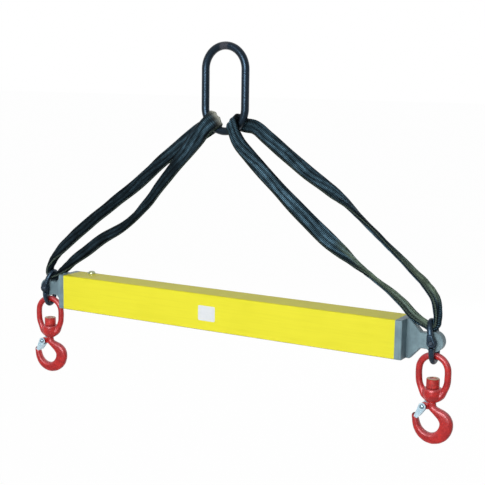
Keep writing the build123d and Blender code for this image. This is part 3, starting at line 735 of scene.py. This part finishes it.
hook = {
    # inner edge (x, z) and outer edge (x, z) from the pin, then half thickness and section power
    "stations": [
        (-7.3, -115.4, 7.3, -115.4, 7.3, 2.0), (-7.4, -119.0, 7.4, -119.0, 7.4, 2.0),
        (-7.3, -123.6, 8.6, -122.4, 7.5, 2.1), (-5.0, -129.2, 14.8, -125.6, 7.9, 2.4),
        (0.8, -134.4, 23.4, -128.6, 8.3, 2.7), (7.0, -139.8, 31.6, -133.4, 8.5, 2.9),
        (12.4, -144.9, 37.8, -140.8, 8.5, 2.9), (15.9, -150.4, 41.2, -150.0, 8.5, 2.9),
        (16.4, -156.6, 41.2, -160.5, 8.5, 2.9), (13.9, -163.6, 37.6, -172.5, 8.5, 2.8),
        (8.8, -169.8, 29.6, -183.6, 8.5, 2.8), (2.2, -173.3, 17.0, -191.6, 8.5, 2.7),
        (-4.6, -174.0, 1.5, -194.5, 8.5, 2.7), (-11.8, -172.2, -13.0, -191.3, 8.4, 2.6),
        (-18.2, -167.4, -24.8, -183.3, 8.2, 2.6), (-22.3, -161.0, -32.4, -172.8, 8.0, 2.5),
        (-24.8, -154.0, -36.6, -160.5, 7.8, 2.5), (-26.8, -148.4, -38.0, -150.5, 7.4, 2.4),
        (-28.6, -143.8, -38.4, -144.9, 6.6, 2.3), (-30.6, -141.2, -37.4, -141.9, 4.9, 2.2),
        (-33.0, -140.1, -35.4, -140.3, 2.2, 2.0)],
    "saddle": 0.10, "shank": 6.5, "shankTop": -70.4, "shankFoot": -118.0,
    "ear": 6.0, "earHalf": 4.0, "earTo": (-16.0, -124.0), "earSteps": 16, "earPower": 4.0,
    "earEnd": 0.02,
    "bareFrom": -145.0, "bareBeyond": -27.0, "bareOver": 2.5, "bareShare": 0.85,
    "skin": 0.0007, "smoothing": 6, "grain": 0.007, "unevenness": 0.00010, "seed": 21,
    "steps": 48, "rows": 220,
}
xAxis, yAxis, zAxis = np.identity(3)


def makeHook(side):
    # three shells: a superellipse carried along the hook's middle line between its inner and outer
    # edges, an ear for the latch's bolt, and a round shank
    table = np.array(hook["stations"]) * [mm, mm, mm, mm, mm, 1]
    middle = (table[:, :2] + table[:, 2:4]) / 2
    knots = np.concatenate([[0], np.cumsum(np.linalg.norm(np.diff(middle, axis=0), axis=1))])
    rows = smoothThrough(knots, table, np.linspace(0, knots[-1], hook["rows"]))
    inner, outer = rows[:, :2], rows[:, 2:4]
    across = np.insert(unit(outer - inner), 1, 0, axis=1)
    path = np.insert((inner + outer) / 2, 1, 0, axis=1)
    half = np.stack([np.linalg.norm(outer - inner, axis=1) / 2, rows[:, 4]], -1)
    section = np.arange(hook["steps"])[None] * 2 * pi / hook["steps"]
    body, faces = carried(path, across, np.broadcast_to(yAxis, across.shape), half, section,
                          rows[:, 5:6])
    # the throat side is a little thicker than the back, by the saddle share
    offset = body[:-2].reshape(len(path), -1, 3) - path[:, None]
    outward = np.sum(offset * across[:, None], -1) / half[:, :1]
    offset[..., 1] *= 1 - hook["saddle"] * outward
    body[:-2] = (path[:, None] + offset).reshape(-1, 3)
    # the ear: a short bar across the line of the neck, rounded off by a quarter circle
    earX, earZ = np.array(hook["earTo"]) * mm
    turn = np.linspace(0, pi / 2, hook["earSteps"])
    reach = np.append([0.0], earX - hook["ear"] * mm * np.sin(turn))
    length = len(reach)
    earPath = np.stack([reach, np.zeros(length), np.full(length, earZ)], -1)
    earSize = np.stack([hook["ear"] * mm * np.append([1.0], np.cos(turn) + hook["earEnd"]),
                        np.full(length, hook["earHalf"] * mm)], -1)
    # the path runs towards -X, so across is +Z and other is -X cross +Z = +Y
    ear = carried(earPath, np.tile(zAxis, (length, 1)), np.tile(yAxis, (length, 1)), earSize,
                  section, np.full((length, 1), hook["earPower"]))
    shankPath = np.outer([hook["shankFoot"], hook["shankTop"]], zAxis) * mm
    shank = carried(shankPath, np.tile(xAxis, (2, 1)), np.tile(yAxis, (2, 1)),
                    np.full((2, 2), hook["shank"] * mm), section, np.full((2, 1), 2.0))
    points, faces = joined([(body, faces), ear, shank])
    piece = forge(makePiece(f"safetyHook{side.capitalize()}", stood(points, side), faces), hook)
    # bare steel on the point, by how high and how far out it is
    skin = pointsOf(piece.data) - pins[side]
    outwards = skin[:, 0] * cos(hookTurn(side)) + skin[:, 1] * sin(hookTurn(side))
    bare = (np.clip((skin[:, 2] / mm - hook["bareFrom"]) / hook["bareOver"], 0, 1)
            * (outwards < hook["bareBeyond"] * mm))
    writeValues(piece, "bareTip", hook["bareShare"] * bare)
    return piece


for side in sides:
    piece = makeHook(side)
    coat(piece, hookMaterial)
    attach(piece, f"hook_{side}_body")
    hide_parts(f"hook_{side}")
print("hooks made")

bail = {"bar": 6.25, "half": 28.15, "top": 26.45, "straight": 12.0, "side": 23.0,
        "kneeHalf": 27.2, "shin": (23.4, 88.5), "footHalf": 17.0, "foot": 101.0,
        "crownSteps": 13, "flareFrom": 84.0, "flare": 3.6, "toe": (8.5, 110.5), "toeBar": 4.2,
        # how the flare and the toe's narrowing fall on the section's two half sizes
        "flareOn": (0.1, 1.0), "toeOn": (1.0, 0.4), "toePower": 1.5,
        # the boss: radius and height down its outside, then the radius of its hole
        "boss": [(15.6, -88.0), (17.2, -89.0), (18.0, -92.0), (18.2, -98.0), (17.6, -104.0),
                 (14.6, -109.0), (11.0, -113.4), (9.4, -115.0)],
        "hole": 7.0, "bossSteps": 72, "skin": 0.0007, "smoothing": 12, "grain": 0.007,
        "unevenness": 0.00009, "seed": 33, "rows": 260, "steps": 40}


def makeBail(side):
    # a bar carried up one leg, round the crown by half a circle and down the other; its section is
    # an ellipse that grows with the square of the depth below flareFrom and narrows into each toe
    radius, top, foot = bail["half"], bail["top"], bail["foot"]
    middle = -(top + radius)
    arc = radians(180) * np.linspace(0, 1, bail["crownSteps"])
    crown = np.stack([radius * np.cos(arc), middle + radius * np.sin(arc)], -1)
    right = np.array([bail["toe"], (bail["footHalf"], foot), bail["shin"],
                      (bail["kneeHalf"], bail["side"] - middle),
                      (radius, bail["straight"] - middle)]) * [1, -1]
    knots = np.concatenate([right, crown, right[::-1] * [-1, 1]]) * mm
    at = np.concatenate([[0], np.cumsum(np.linalg.norm(np.diff(knots, axis=0), axis=1))])
    line = smoothThrough(at, knots, np.linspace(0, at[-1], bail["rows"]))
    tangent = unit(np.gradient(line, axis=0))
    path = np.insert(line, 1, 0, axis=1)
    across = np.stack([tangent[:, 1], np.zeros(len(line)), -tangent[:, 0]], -1)
    # other is tangent cross across, which is the front or back
    other = np.cross(np.insert(tangent, 1, 0, axis=1), across)
    low = -line[:, 1] / mm
    depth = np.clip((low - bail["flareFrom"]) / (foot - bail["flareFrom"]), 0, 1)
    ending = np.clip((low - foot) / (bail["toe"][1] - foot), 0, 1)
    narrowed = (bail["bar"] - bail["toeBar"]) * ending[:, None] ** bail["toePower"]
    half = (bail["bar"] + bail["flare"] * depth[:, None] ** 2 * bail["flareOn"]
            - narrowed * bail["toeOn"]) * mm
    section = np.arange(bail["steps"])[None] * 2 * pi / bail["steps"]
    bar = carried(path, across, other, half, section, np.full((len(line), 1), 2.0))
    outside = bail["boss"]
    wall = np.array(outside + [(bail["hole"], outside[-1][1]), (bail["hole"], outside[0][1])]) * mm
    points, faces = joined([bar, turned(wall[::-1], bail["bossSteps"])])
    return forge(makePiece(f"swivelBail{side.capitalize()}", stood(points, side), faces), bail)


for side in sides:
    piece = makeBail(side)
    coat(piece, hookMaterial)
    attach(piece, f"bail_{side}_body")
    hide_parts(f"swivel_bail_{side}")
print("bails made")

# the squeeze starts and ends at these distances from the pin
coupling = {"squeeze": 0.17, "squeezeFrom": 0.010, "squeezeTo": 0.036, "skin": 0.0007,
            "smoothing": 8, "grain": 0.006, "unevenness": 0.00006, "seed": 41}


def drawnIn(piece, side):
    # the two legs come together towards the crown: y shrinks by the squeeze times a smooth step of
    # the distance from the pin
    points = pointsOf(piece.data)
    away = np.linalg.norm((points - pins[side])[:, [0, 2]], axis=1)
    t = np.clip((away - coupling["squeezeFrom"])
                / (coupling["squeezeTo"] - coupling["squeezeFrom"]), 0, 1)
    points[:, 1] *= 1 - coupling["squeeze"] * t * t * (3 - 2 * t)
    movePoints(piece.data, points)


for side in sides:
    for half, body in (("upper", "rigging"), ("lower", f"coupling_lower_{side}_body")):
        name = f"coupling_{half}_{side}"
        piece = forge(copyOf(name), coupling)
        drawnIn(piece, side)
        piece.name = f"coupling{half.capitalize()}{side.capitalize()}"
        coat(piece, couplingMaterial)
        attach(piece, body)
        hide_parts(name)
print("couplings made")

stage = {"floor": -1.15, "size": 40.0, "floorTone": (244, 244, 244), "glow": 0.985,
         "ambientLight": (0.97, 0.99, 1, 1), "ambient": 0.2}


def directlySeen(tree):
    # 1 where the ray comes from the camera, off something glossy or through something clear
    rays = node(tree, "LightPath")
    first = maths(tree, "MAXIMUM", rays.outputs["Is Camera Ray"], rays.outputs["Is Glossy Ray"])
    return maths(tree, "MAXIMUM", first, rays.outputs["Is Transmission Ray"])


def mixShaders(tree, share, first, second, output):
    mixed = node(tree, "MixShader", {0: share, 1: first.outputs[0], 2: second.outputs[0]})
    tree.links.new(mixed.outputs[0], node(tree, output).inputs[0])


square = np.array([[-1, -1, 0], [1, -1, 0], [1, 1, 0], [-1, 1, 0]])
floor = makePiece("floor", square * stage["size"] + [0, 0, stage["floor"]], [[0, 1, 2, 3]])
material = bpy.data.materials.new("paleFloor")
material.use_nodes = True
tree = material.node_tree
tree.nodes.clear()
plain = node(tree, "BsdfDiffuse", {"Color": colour(*stage["floorTone"])})
white = node(tree, "Emission", {"Color": (1, 1, 1, 1), "Strength": 1.0})
mixShaders(tree, product(tree, directlySeen(tree), stage["glow"]), plain, white, "OutputMaterial")
coat(floor, material)

world = bpy.data.worlds.new("studio")
bpy.context.scene.world = world
world.use_nodes = True
tree = world.node_tree
tree.nodes.clear()
soft = node(tree, "Background", {"Color": stage["ambientLight"], "Strength": stage["ambient"]})
white = node(tree, "Background", {"Color": (1, 1, 1, 1), "Strength": 1.0})
mixShaders(tree, directlySeen(tree), soft, white, "OutputWorld")

# the shine only makes highlights, and the back lamp makes none
lamps = {"key": {"at": (0.2, -3.4, 0.55), "size": 1.7, "power": 88.0},
         "shine": {"at": (0.75, -3.1, 0.35), "size": 1.0, "power": 110.0, "diffuse": False},
         "back": {"at": (0.3, 3.3, -0.15), "size": 1.2, "power": 60.0, "glossy": False},
         "glint": {"at": (-0.6, -1.7, 1.1), "size": 0.25, "power": 3.0}}
lampAim = Vector((0, 0, -0.45))
for name, look in lamps.items():
    data = bpy.data.lights.new(name, "AREA")
    data.shape = "SQUARE"
    data.size, data.energy = look["size"], look["power"]
    lamp = placed(name, data)
    lamp.visible_diffuse = look.get("diffuse", True)
    lamp.visible_glossy = look.get("glossy", True)
    lamp.location = look["at"]
    lamp.rotation_euler = (lampAim - lamp.location).to_track_quat("-Z", "Y").to_euler()

camera = {"azimuth": 30.72, "elevation": 8.74, "roll": 0.79, "distance": 2.2274, "lens": 82.68,
          "sensor": 36.0, "aim": (0.0446, 0.0, -0.3802)}
azimuth, elevation, roll = (radians(camera[k]) for k in ("azimuth", "elevation", "roll"))
back = Vector((sin(azimuth) * cos(elevation), -cos(azimuth) * cos(elevation), sin(elevation)))
level = Vector((cos(azimuth), sin(azimuth), 0))
right = level * cos(roll) + back.cross(level) * sin(roll)
data = bpy.data.cameras.new("camera")
data.lens, data.sensor_width = camera["lens"], camera["sensor"]
eye = placed("camera", data)
turn = Matrix((right, back.cross(right), back)).transposed()
eye.matrix_world = (Matrix.Translation(Vector(camera["aim"]) + back * camera["distance"])
                    @ turn.to_4x4())
bpy.context.scene.camera = eye
bpy.context.scene.view_settings.view_transform = "Standard"
print("stage set")
